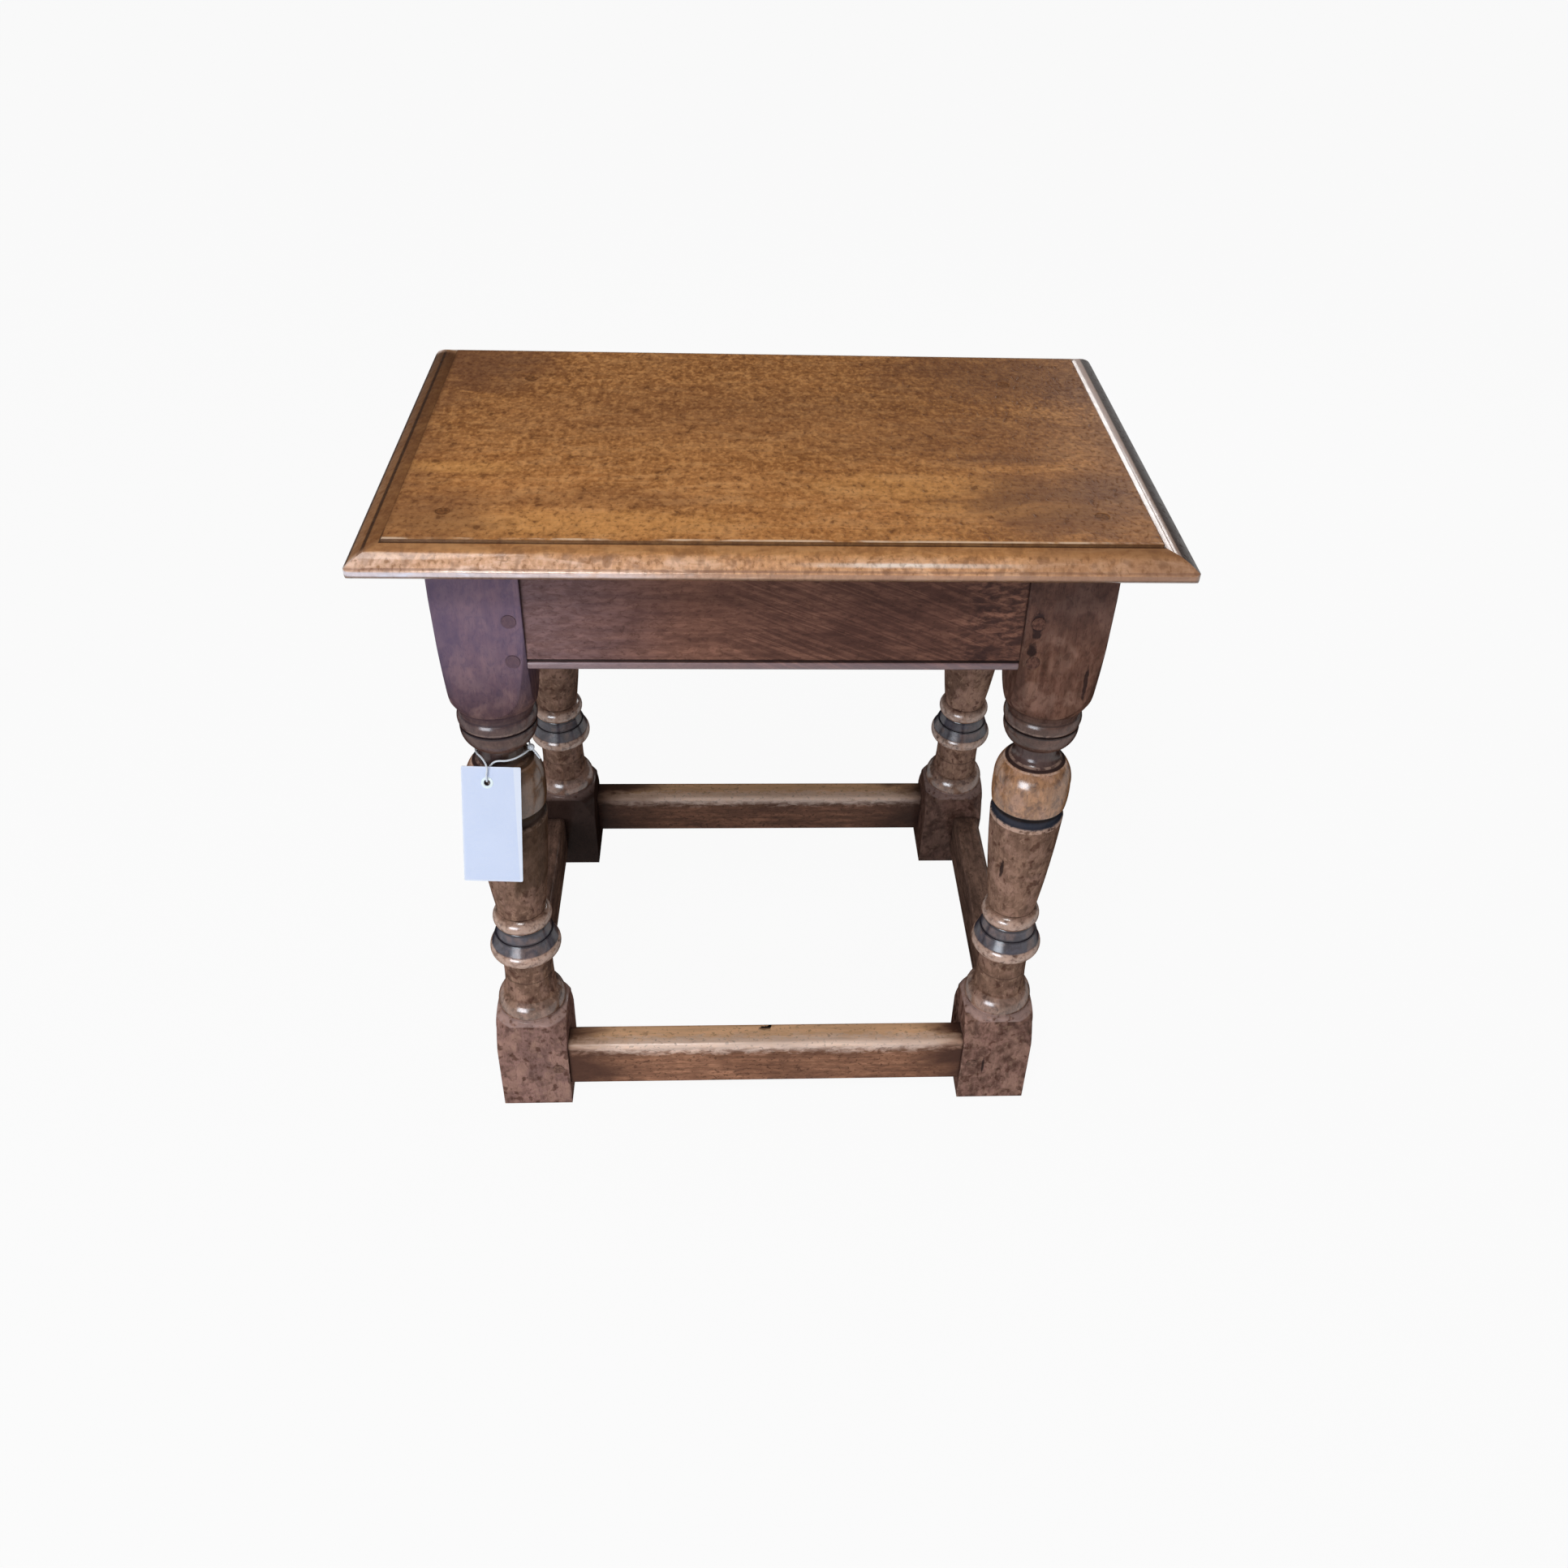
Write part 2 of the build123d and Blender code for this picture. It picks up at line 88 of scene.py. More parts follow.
def millimetres_from(origin, points):
    return [origin + Vector(point) / 1000 for point in points]


def new_string(name, points, thickness):
    line = bpy.data.curves.new(name, "CURVE")
    line.dimensions = "3D"
    line.resolution_u = 12
    # the bevel is 1 and the points' radius brings it down to the string, so the curve's box fits the string
    line.bevel_depth = 1
    line.bevel_resolution = 3
    line.use_fill_caps = True
    spline = line.splines.new("NURBS")
    spline.points.add(len(points) - 1)
    for place, point in zip(spline.points, points):
        place.co = (*point, 1)
        place.radius = thickness / 2
    spline.order_u = 3
    spline.use_endpoint_u = True
    string = bpy.data.objects.new(name, line)
    bpy.context.scene.collection.objects.link(string)
    return string


tag_string = new_string(
    "string", millimetres_from(NECK, ROUND_NECK) + millimetres_from(TAG_HOLE, THROUGH_HOLE)
    + millimetres_from(NECK, TO_KNOT), STRING_THICKNESS)
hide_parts("tag_string")
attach(tag_string, "stool")

# ---------------------------------------------------------------- what the finishes are written with


class Value:
    """A number, vector or colour inside a material. Sums on values make the material's Math nodes."""

    def __init__(self, finish, socket):
        self.finish = finish
        self.socket = socket

    def sum(self, operation, first, second):
        return self.finish.node("Math", {"operation": operation}, {0: first, 1: second})

    def __add__(self, other):
        return self.sum("ADD", self, other)

    def __radd__(self, other):
        return self.sum("ADD", other, self)

    def __sub__(self, other):
        return self.sum("SUBTRACT", self, other)

    def __rsub__(self, other):
        return self.sum("SUBTRACT", other, self)

    def __mul__(self, other):
        return self.sum("MULTIPLY", self, other)

    def __rmul__(self, other):
        return self.sum("MULTIPLY", other, self)

    def __truediv__(self, other):
        return self.sum("DIVIDE", self, other)

    def __rtruediv__(self, other):
        return self.sum("DIVIDE", other, self)

    def __pow__(self, other):
        return self.sum("POWER", self, other)

    def __abs__(self):
        return self.finish.node("Math", {"operation": "ABSOLUTE"}, {0: self})

    def larger(self, other):
        return self.sum("MAXIMUM", self, other)

    def smaller(self, other):
        return self.sum("MINIMUM", self, other)


def strongest(values):
    """The largest of several values at each place."""
    most, *others = values
    for value in others:
        most = most.larger(value)
    return most


class Finish:
    """One procedural material and the nodes it is made of."""

    def __init__(self, name):
        self.material = bpy.data.materials.new(name)
        self.material.use_nodes = True
        self.tree = self.material.node_tree
        self.shader = self.tree.nodes["Principled BSDF"]
        place = self.tree.nodes.new("ShaderNodeTexCoord")
        parts = self.tree.nodes.new("ShaderNodeSeparateXYZ")
        self.tree.links.new(place.outputs["Object"], parts.inputs[0])
        self.x, self.y, self.z = (Value(self, parts.outputs[axis]) for axis in range(3))

    def fill(self, node, sockets):
        for name, value in sockets.items():
            if isinstance(value, Value):
                self.tree.links.new(value.socket, node.inputs[name])
            else:
                node.inputs[name].default_value = value

    def node(self, kind, settings, sockets, output=0):
        """Makes any node: its settings are set first, then its sockets get their values or links."""
        made = self.tree.nodes.new("ShaderNode" + kind)
        for name, value in settings.items():
            setattr(made, name, value)
        self.fill(made, sockets)
        return Value(self, made.outputs[output])

    def vector(self, x, y, z):
        return self.node("CombineXYZ", {}, {0: x, 1: y, 2: z})

    def cloud(self, x, y, z, detail=3.0, roughness=0.55, distortion=0.0):
        """Cloudy noise, about 0.3 to 0.7. The place already holds its scale."""
        sockets = {"Vector": self.vector(x, y, z), "Scale": 1.0, "Detail": detail, "Roughness": roughness,
                   "Distortion": distortion}
        return self.node("TexNoise", {}, sockets)

    def between(self, value, low, high):
        """Rises smoothly from 0 at low to 1 at high, and falls where low is the larger."""
        settings = {"interpolation_type": "SMOOTHSTEP"}
        return self.node("MapRange", settings, {0: value, 1: low, 2: high, 3: 0.0, 4: 1.0})

    def band(self, value, low, high, soft):
        """1 from low to high, with soft edges outside them."""
        return self.between(value, low - soft, low) * self.between(value, high + soft, high)

    def lines(self, place, table):
        """Several bands in one. A row of the table is a low end, a high end, a softness and a strength."""
        return strongest(self.band(place, low, high, soft) * strength for low, high, soft, strength in table)

    def gloss(self):
        """1 where the surface faces the eye, 0 where it turns away, so that the outlines stay dark."""
        away = self.node("LayerWeight", {}, {"Blend": 0.5}, output="Facing")
        return self.between(away, 0.8, 0.4)

    def outline(self, height, low, high, swell):
        """An outline's distance from the middle. Its ends are a height and a distance, with a swell between."""
        run = self.node("MapRange", {}, {0: height, 1: low[0], 2: high[0], 3: 0.0, 4: 1.0})
        return low[1] + run * (high[1] - low[1]) + run * (1 - run) * 4 * swell

    def spot(self, x, z, wide, tall, ragged):
        """A mark on a front face, 1 in its middle, with an outline made ragged by a cloud."""
        far = ((self.x - x) / wide) ** 2 + ((self.z - z) / tall) ** 2 + (ragged - 0.5) * 2.4
        return self.between(far, 1.2, 0.5) * self.between(self.y, 0.0, -0.01)

    def patch(self, x, y, wide, deep, ragged):
        """A broad soft patch on a level face, 1 in its middle, with an outline that follows a cloud."""
        far = ((self.x - x) / wide) ** 2 + ((self.y - y) / deep) ** 2 + (ragged - 0.5) * 1.2
        return self.between(far, 2.6, -0.2)

    def mix(self, amount, first, second):
        """Goes from the first colour to the second as the amount goes from 0 to 1."""
        first, second = (colour if isinstance(colour, Value) else (*colour, 1) for colour in (first, second))
        return self.node("Mix", {"data_type": "RGBA"}, {0: amount, 6: first, 7: second}, output=2)

    def joints(self, depth):
        """1 where pieces meet within the depth, 0 in the open."""
        settings = {"samples": 8}
        return 1 - self.node("AmbientOcclusion", settings, {"Distance": depth}, output="AO")

    def arrises(self, depth):
        """1 on outer edges and corners, 0 on the flat."""
        settings = {"samples": 8, "only_local": True, "inside": True}
        return 1 - self.node("AmbientOcclusion", settings, {"Distance": depth}, output="AO")

    def relief(self, height, depth, arris=0.0):
        """A relief as deep as the depth where the height goes from 0 to 1, on edges rounded by the arris."""
        sockets = {"Height": height, "Distance": depth, "Strength": 1.0}
        if arris:
            sockets["Normal"] = self.node("Bevel", {"samples": 6}, {"Radius": arris})
        return self.node("Bump", {}, sockets)

    def wear(self, **sockets):
        """Sets the shader's own sockets, named with underscores for spaces."""
        self.fill(self.shader, {name.replace("_", " "): value for name, value in sockets.items()})
        return self.material


# ---------------------------------------------------------------- oak

BOARD_UNDER = 0.442
LEG_X, LEG_TOP_Y = 0.1665, 0.099
LEAN = radians(3.6)
FOOT_Y = LEG_TOP_Y + BOARD_UNDER * tan(LEAN)
FIELD_X, FIELD_Y = 0.2105, 0.127
MITRE = FIELD_X - FIELD_Y


def along_the_lean(oak):
    """The height up a leaning leg, and the distance outwards from its middle."""
    outward = abs(oak.y) - FOOT_Y
    return oak.z * cos(LEAN) - outward * sin(LEAN), outward * cos(LEAN) + oak.z * sin(LEAN)


def oak_figure(oak, along, across, through):
    """What all the oak has, along the grain: broad clouds of tone, long streaks and short dark pores."""
    tone = oak.cloud(along * 8, across * 24, through * 24, 4.0, 0.6, 0.6)
    streaks = oak.cloud(along * 24, across * 260, through * 260, 4.0, 0.65, 0.4)
    pores = oak.cloud(along * 210, across * 900, through * 900, 2.0, 0.6)
    return oak.between(tone, 0.32, 0.68), oak.between(streaks, 0.34, 0.66), oak.between(pores, 0.56, 0.68)


# ---------------------------------------------------------------- board

BOARD = SimpleNamespace(
    brown=(0.43, 0.170, 0.050), gold=(0.64, 0.268, 0.086), honey=(0.80, 0.375, 0.135),
    streak=(0.24, 0.088, 0.022), straw=(0.92, 0.48, 0.20), rear=(0.22, 0.088, 0.030),
    gold_speck=(0.92, 0.44, 0.15), gold_patch=(0.96, 0.47, 0.15), pale_mottle=(0.98, 0.50, 0.19),
    dark_mottle=(0.17, 0.064, 0.022), dark_patch_and_end_shade=(0.165, 0.072, 0.042), pore=(0.13, 0.046, 0.016),
    flat=(0.78, 0.40, 0.16), nose=(0.78, 0.44, 0.22), rubbed_and_sheen=(0.98, 0.68, 0.54),
    shine=(1.0, 0.88, 0.78), lip_reflection=(0.80, 0.84, 1.0), brown_lip=(0.36, 0.19, 0.13),
    lip_line=(0.20, 0.10, 0.08), brown_end=(0.26, 0.125, 0.068), edge_grain=(0.22, 0.095, 0.042),
    arris=(0.95, 0.72, 0.52), right_rim_shade=(0.030, 0.014, 0.010), right_line=(0.06, 0.032, 0.025),
    right_painted_sheen=(0.66, 0.50, 0.44), left=(0.10, 0.042, 0.017), left_rim_shade=(0.030, 0.014, 0.009),
    quirk=(0.035, 0.016, 0.009), under=(0.10, 0.045, 0.022))

# patches on the board's field: the middle's x and y, half the width, half the depth, and the strength
GOLD_PATCHES = [
    (0.082, -0.063, 0.050, 0.014, 1.0), (0.130, -0.088, 0.045, 0.009, 1.0),
    (-0.120, -0.108, 0.080, 0.012, 1.0), (-0.185, -0.044, 0.030, 0.006, 1.0)]
DARK_PATCHES = [
    (-0.205, 0.110, 0.050, 0.045, 1.0), (0.175, 0.095, 0.090, 0.040, 0.8),
    (0.172, -0.082, 0.060, 0.034, 1.0), (0.138, -0.026, 0.030, 0.010, 0.8),
    (-0.192, -0.100, 0.036, 0.024, 0.8), (-0.098, -0.080, 0.060, 0.010, 0.4),
    (0.120, 0.0, 0.090, 0.030, 0.5), (0.0, 0.03, 0.14, 0.034, 0.36)]

# lines along the board's edge: where each starts and ends, and how soft its ends are
QUIRK = (0.0002, 0.0008, 0.0008)
FIELD_ARRIS_HIGHLIGHT = (-0.0020, -0.0006, 0.0006)
LIP, LIP_LINE = (0.4462, 0.4480, 0.0012), (0.4495, 0.4500, 0.0004)
FRONT_PAINTED_SHINE_Y, FRONT_PAINTED_SHINE_X = (-0.1411, -0.1405, 0.0014), (0.055, 0.085, 0.06)
RIGHT_LINE, LEFT_GROOVE = (0.2146, 0.2150, 0.0004), (-0.2203, -0.2191, 0.0010)
RIGHT_SHINES = [(0.2107, 0.2142, 0.0006, 1.0), (0.2157, 0.2180, 0.0008, 0.85)]


def board_figure(oak):
    """The board's figure: what all the oak has, and its own drifts, specks, mottle and wisps."""
    tone, streaks, pores = oak_figure(oak, oak.x, oak.y, oak.z)
    drift = oak.cloud(oak.x * 16, oak.y * 34, oak.z * 34, 5.0, 0.6, 1.2)
    specks = oak.cloud(oak.x * 400, oak.y * 290, oak.z * 290, 2.0, 0.5, 0.3)
    mottle = oak.cloud(oak.x * 170, oak.y * 120, oak.z * 120, 2.0, 0.45)
    wisps = oak.cloud(oak.x * 34, oak.y * 110, oak.z * 110, 4.0, 0.6, 0.8)
    return SimpleNamespace(
        tone=tone, streaks=streaks, pores=pores, drift=oak.between(drift, 0.34, 0.66),
        dark_specks=oak.between(specks, 0.54, 0.70), gold_specks=oak.between(specks, 0.50, 0.34),
        dents=oak.between(mottle, 0.66, 0.72), pale_mottle=oak.between(mottle, 0.47, 0.36),
        dark_mottle=oak.between(mottle, 0.52, 0.64), wisps=oak.between(wisps, 0.48, 0.66))


def board_places(oak):
    """The board's parts, each 1 in its place. The edge is all four mouldings, the nose their outer half."""
    beyond = (abs(oak.x) - FIELD_X).larger(abs(oak.y) - FIELD_Y)
    nose = oak.between(beyond, 0.0065, 0.0135)
    left_of_mitre = oak.between(abs(oak.y) + oak.x, -MITRE, -MITRE - 0.007)
    right_of_mitre = oak.between(oak.x - abs(oak.y) - MITRE, 0.0, 0.001)
    return SimpleNamespace(
        edge=oak.between(beyond, -0.001, 0.001), nose=nose, quirk=oak.band(beyond, *QUIRK),
        front=oak.between(oak.y, -0.11, -0.12), lip=oak.band(oak.z, *LIP) * nose,
        left=oak.between(oak.x, 0.003 - FIELD_X, -0.001 - FIELD_X) * left_of_mitre,
        right=oak.between(oak.x - FIELD_X, 0.0, 0.001) * right_of_mitre,
        right_rim_shade=oak.between(oak.x, 0.2177, 0.2195))


def board_field(oak, figure):
    """The field's colour: dark patches at its corners, painted shade towards its ends and rear, a front worn to
    gold.
    """
    colour = oak.mix(figure.tone, BOARD.brown, BOARD.gold)
    colour = oak.mix(figure.drift * 0.5, colour, BOARD.honey)
    colour = oak.mix(figure.streaks * 0.35, colour, BOARD.streak)
    colour = oak.mix(figure.wisps * 0.35, colour, BOARD.straw)
    # painted shade: the field darkens towards the rear
    colour = oak.mix(oak.between(oak.y, -0.11, 0.07) * 0.43, colour, BOARD.rear)
    colour = oak.mix(figure.gold_specks * 0.42, colour, BOARD.gold_speck)
    gold, dark = (strongest(oak.patch(*place, figure.drift) * strength for *place, strength in table)
                  for table in (GOLD_PATCHES, DARK_PATCHES))
    colour = oak.mix(gold * 0.4, colour, BOARD.gold_patch)
    colour = oak.mix(figure.pale_mottle * 0.22, colour, BOARD.pale_mottle)
    colour = oak.mix(figure.dark_mottle * 0.24, colour, BOARD.dark_mottle)
    # painted shade towards the field's ends, taken together with the dark patches
    ends = oak.between(abs(oak.x) + (figure.tone - 0.5) * 0.03, 0.180, 0.215) * 0.6
    return oak.mix(dark.larger(ends) * 0.66, colour, BOARD.dark_patch_and_end_shade)


def board_front(oak, figure, at, colour):
    """The front moulding: its nose worn pale and painted with a pale sheen, most of all at the left, a painted
    highlight line along it, and a painted bluish reflection on the lip below it.
    """
    not_left, wisps = 1 - at.left, figure.wisps
    colour = oak.mix(at.edge * not_left * (1 - at.nose) * 0.45 * (0.5 + wisps), colour, BOARD.flat)
    colour = oak.mix(at.nose * (0.16 + wisps * 0.24), colour, BOARD.nose)
    # painted pale sheen over the worn nose, strongest at the left
    rubbed_and_sheen = at.nose * not_left * (0.24 + oak.between(oak.x, 0.02, -0.18) * 0.42)
    rubbed_and_sheen = rubbed_and_sheen * (0.5 + figure.gold_specks * 0.3 + wisps * 0.7 - figure.dark_specks * 0.3)
    colour = oak.mix(rubbed_and_sheen, colour, BOARD.rubbed_and_sheen)
    # a painted highlight line along the nose
    shine = oak.band(oak.y, *FRONT_PAINTED_SHINE_Y) * oak.band(oak.x, *FRONT_PAINTED_SHINE_X)
    colour = oak.mix(shine * (0.55 + wisps * 0.45), colour, BOARD.shine)
    # painted bluish reflection on the lip, strongest at the left
    painted_cool_sheen = at.lip * oak.between(oak.x, 0.02, -0.22)
    colour = oak.mix(painted_cool_sheen * (0.55 + wisps * 0.3), colour, BOARD.lip_reflection)
    colour = oak.mix(at.lip * oak.between(oak.x, -0.14, 0.06) * 0.6, colour, BOARD.brown_lip)
    line = oak.band(oak.z, *LIP_LINE) * at.nose
    colour = oak.mix(line * (1 - wisps * 0.7) * 0.5, colour, BOARD.lip_line)
    brown_end = oak.between(oak.x + (figure.tone - 0.5) * 0.1, 0.10, 0.2) * at.edge
    colour = oak.mix(brown_end * 0.4, colour, BOARD.brown_end)
    hollow = oak.between(abs(oak.y), 0.1370, 0.1325)
    grain = strongest([figure.dark_mottle * 0.34, figure.dark_specks * 0.34, hollow * 0.3])
    colour = oak.mix(grain * at.edge * (1 - at.lip), colour, BOARD.edge_grain)
    # the field's worn front arris, with a painted highlight along it
    arris = oak.band(abs(oak.y) - FIELD_Y, *FIELD_ARRIS_HIGHLIGHT) * oak.between(abs(oak.x), 0.2115, 0.2095)
    return oak.mix(arris * at.front * oak.between(figure.drift, 0.0, 0.6) * 0.75, colour, BOARD.arris)


def board_oak():
    oak = Finish("waxed oak board")
    figure, at = board_figure(oak), board_places(oak)
    colour = board_field(oak, figure)
    holes = strongest([figure.pores * 0.14, figure.dark_specks * 0.46, figure.dents * 0.6])
    colour = oak.mix(holes * (1 - at.edge * 0.3), colour, BOARD.pore)
    colour = board_front(oak, figure, at, colour)

    # the right moulding shines in two bands with a thin dark line between them, over a painted pale reflection,
    # and its outer rim is painted shade
    colour = oak.mix(at.right * at.right_rim_shade * 0.95, colour, BOARD.right_rim_shade)
    colour = oak.mix(at.right * oak.band(oak.x, *RIGHT_LINE) * 0.5, colour, BOARD.right_line)
    colour = oak.mix(at.right * (1 - at.right_rim_shade) * 0.6, colour, BOARD.right_painted_sheen)
    right_gloss = oak.lines(oak.x, RIGHT_SHINES) * (0.55 + oak.between(oak.y, 0.13, -0.13) * 0.45)
    right_gloss = right_gloss * (0.75 + figure.wisps * 0.25)
    elsewhere = (1 - at.left) * (1 - at.right)
    sheen = elsewhere * (0.45 + oak.gloss() * 0.55) + at.right * right_gloss

    # the left moulding is dark, with painted shade on its outer rim, heaviest at the rear, and a dark line
    # along its middle; the quirk gets painted shade, heaviest at the front
    colour = oak.mix(at.left * (0.28 + oak.between(oak.y, -0.1, 0.1) * 0.32), colour, BOARD.left)
    left_rim_shade = oak.between(oak.x, -0.2260, -0.2275).larger(oak.between(oak.y, 0.08, 0.15) * 0.4)
    colour = oak.mix(at.left * left_rim_shade * 0.85, colour, BOARD.left_rim_shade)
    quirk_shade_and_groove_line = (at.quirk * (0.25 + at.front * 0.6)).larger(at.left * oak.band(oak.x, *LEFT_GROOVE) * 0.85)
    colour = oak.mix(quirk_shade_and_groove_line, colour, BOARD.quirk)
    # painted shade on the board's underside
    colour = oak.mix(oak.between(oak.z, 0.4466, 0.4455) * 0.7, colour, BOARD.under)

    height = 1 - strongest([figure.pores * 0.5, figure.dark_specks * 0.7, figure.dents]) - figure.streaks * 0.2
    rough = 0.36 + figure.dark_specks * 0.16 + figure.tone * 0.07 - at.edge * 0.08 + at.left * 0.25
    return oak.wear(Base_Color=colour, Roughness=rough, Specular_IOR_Level=0.07,
                    Coat_Weight=at.edge * sheen, Coat_Roughness=0.12,
                    Normal=oak.relief(height * (1 - at.edge * 0.5), 0.00016, 0.0012))


# ---------------------------------------------------------------- aprons and stretchers

RAIL = SimpleNamespace(
    deep_shade=(0.022, 0.013, 0.015), painted_cool_sheen=(0.24, 0.170, 0.20), speck=(0.025, 0.012, 0.009),
    worn=(0.42, 0.23, 0.15), trodden_and_lit=(1.0, 0.60, 0.34), trodden_edge_sheen=(1.0, 0.74, 0.60),
    nick=(0.008, 0.005, 0.005), bead_quirk=(0.016, 0.010, 0.010), bead=(0.30, 0.20, 0.23),
    joint_dirt_and_shade=(0.020, 0.013, 0.014))

# heights: the groove over the aprons' bead, the bead, and the middle of the stretchers' rounded edge
BEAD_QUIRK, BEAD = (0.3778, 0.3794, 0.0004), (0.3722, 0.3772, 0.0006)
STRETCHER_EDGE = 0.0565


def flamed(oak, colour, mottle, grime_and_shade):
    """Flames of darker figure that slope down to the right, with painted shade at the right and a painted
    bluish sheen at the left.
    """
    slope = oak.z + oak.x * 0.42
    flames = oak.cloud(oak.x * 18 + oak.z * 20, slope * 260, 0.0, 3.0, 0.6, 1.2)
    flames = oak.between(flames, 0.44, 0.58) * oak.band(oak.x, 0.0, 0.105, 0.05)
    colour = oak.mix(flames * 0.55, colour, grime_and_shade)
    colour = oak.mix(oak.band(oak.x, 0.118, 0.16, 0.02) * mottle * 0.75, colour, RAIL.deep_shade)
    return oak.mix(oak.between(oak.x, -0.04, -0.15) * 0.5, colour, RAIL.painted_cool_sheen)


def rail_oak(name, light, dark, grime_and_shade, along_y=False, figured=False, worn_amount=0.5, dull=0.0,
             foot_wear_and_light=0.0, edge_out=0.0215):
    """A rail's oak between a light and a dark tone, darker where it meets the legs from soiling and painted
    shade.
    """
    oak = Finish(name)
    along, through = (oak.y, oak.x) if along_y else (oak.x, oak.y)
    tone, streaks, pores = oak_figure(oak, along, oak.z, through)
    mottle = oak.between(oak.cloud(along * 120, oak.z * 260, through * 260, 4.0, 0.65, 0.5), 0.36, 0.64)
    specks = oak.between(oak.cloud(along * 330, oak.z * 460, through * 460, 2.0, 0.5, 0.6), 0.56, 0.68)
    colour = oak.mix(tone, dark, light)
    colour = oak.mix(streaks * 0.4, colour, grime_and_shade)
    if figured:
        colour = flamed(oak, colour, mottle, grime_and_shade)
    colour = oak.mix(mottle * 0.4, colour, grime_and_shade)
    speckled = 0.3 if figured else 0.4
    colour = oak.mix((pores * 0.5).larger(specks) * speckled, colour, RAIL.speck)
    worn = oak.between(oak.arrises(0.003) + (mottle - 0.5) * 0.2, 0.42, 0.72)
    colour = oak.mix(worn * worn_amount, colour, RAIL.worn)
    shine = 0.0
    if foot_wear_and_light:
        # feet have worn the top, and most of all the upper edge, between the ends; the top is also painted
        # lighter, as if lit, the upper edge gets a painted pale sheen, and the ends painted shade
        up_leg, outward = along_the_lean(oak)
        up, across = up_leg - STRETCHER_EDGE, outward - edge_out
        middle = oak.between(abs(oak.x) + (tone - 0.5) * 0.05, 0.145, 0.085)
        top = oak.between(up + (mottle - 0.5) * 0.002, -0.0045, -0.0005)
        from_edge = (up ** 2 + across ** 2) ** 0.5
        ridge = oak.between(from_edge + (mottle - 0.5) * 0.004, 0.0115, 0.0020)
        colour = oak.mix(top * (0.25 + middle * 0.72) * foot_wear_and_light, colour, RAIL.trodden_and_lit)
        colour = oak.mix(ridge * (0.25 + middle * 0.65) * foot_wear_and_light, colour, RAIL.trodden_edge_sheen)
        colour = oak.mix((specks * 0.4).larger(streaks * 0.2) * middle, colour, grime_and_shade)
        ends = (1 - middle) * 0.93 + oak.between(oak.x, 0.10, 0.14) * 0.07
        colour = oak.mix(ends * (1 - ridge * 0.6), colour, grime_and_shade)
        shine = ridge * (0.1 + middle * 0.9)
        nick = oak.spot(-0.001, 0.0575, 0.0035, 0.0022, mottle) * oak.between(across, -0.012, -0.016)
        colour = oak.mix(nick, colour, RAIL.nick)
    colour = oak.mix(oak.band(oak.z, *BEAD_QUIRK) * 0.85, colour, RAIL.bead_quirk)
    # a painted lilac highlight along the aprons' bead, which also gets gloss
    bead = oak.band(oak.z, *BEAD)
    colour = oak.mix(bead * 0.4, colour, RAIL.bead)
    # darker where pieces meet: soiling and painted shade
    joint_dirt_and_shade = oak.between(oak.joints(0.022), 0.25, 0.72)
    colour = oak.mix(joint_dirt_and_shade * 0.9, colour, RAIL.joint_dirt_and_shade)
    height = 1 - (pores * 0.6).larger(specks * 0.8) - streaks * 0.3
    return oak.wear(Base_Color=colour, Roughness=0.36 + dull + tone * 0.08 + specks * 0.1,
                    Specular_IOR_Level=0.0, Coat_Roughness=0.2, Coat_IOR=1.6,
                    Coat_Weight=(0.10 + bead * 0.9).larger(shine) * oak.gloss(),
                    Normal=oak.relief(height * speckled, 0.0003, 0.0014))


# ---------------------------------------------------------------- legs

LEG = SimpleNamespace(
    dark_tan=(0.215, 0.118, 0.080), tan=(0.385, 0.222, 0.152), dark_rust=(0.215, 0.112, 0.090),
    rust=(0.380, 0.198, 0.158), dark_umber=(0.110, 0.052, 0.040), umber=(0.325, 0.157, 0.104),
    amber=(0.62, 0.290, 0.118), left_foot=(0.70, 0.44, 0.42), streak=(0.060, 0.028, 0.018),
    mottle=(0.075, 0.036, 0.024), pale_speck=(0.55, 0.34, 0.23), blush=(0.52, 0.300, 0.225),
    blotch=(0.085, 0.034, 0.022), dark_collar=(0.055, 0.027, 0.022), collar=(0.150, 0.076, 0.060),
    pore=(0.032, 0.015, 0.010), blue_hollow_shade=(0.058, 0.062, 0.090), black_hollow_shade=(0.022, 0.018, 0.026),
    ridge=(0.020, 0.016, 0.024), scotia=(0.030, 0.038, 0.056), scotia_overhang_shadow=(0.004, 0.004, 0.006),
    dome_shade=(0.062, 0.034, 0.034), dark_line=(0.016, 0.009, 0.009), rubbed_and_sheen=(0.72, 0.48, 0.37),
    shoulder=(0.050, 0.027, 0.020), arch=(0.55, 0.38, 0.34), knock=(0.018, 0.010, 0.010),
    tag_shadow_brown=(0.080, 0.044, 0.024), joint_dirt_and_shade=(0.016, 0.011, 0.012), rear=(0.026, 0.014, 0.011),
    upper_right_dark=(0.045, 0.027, 0.028), painted_cool_sheen=(0.165, 0.130, 0.225))

# the turning, up the leaning leg: where each part starts and ends, and how soft its ends are
ARCH, DISH, SCOTIA = (0.0800, 0.0838, 0.0012), (0.1435, 0.1592, 0.0010), (0.2528, 0.2617, 0.0006)
BULB, DOME, COLLAR = (0.262, 0.294, 0.001), (0.2950, 0.3085, 0.0006), (0.3075, 0.3385, 0.0015)
POLISHED_ANKLE, POLISHED_RINGS, POLISHED_NECK = (
    (0.083, 0.097, 0.001), (0.133, 0.171, 0.001), (0.296, 0.334, 0.001))
TAG_SHADOW_X, TAG_SHADOW_UP = (-0.163, -0.130, 0.004), (0.205, 0.300, 0.012)

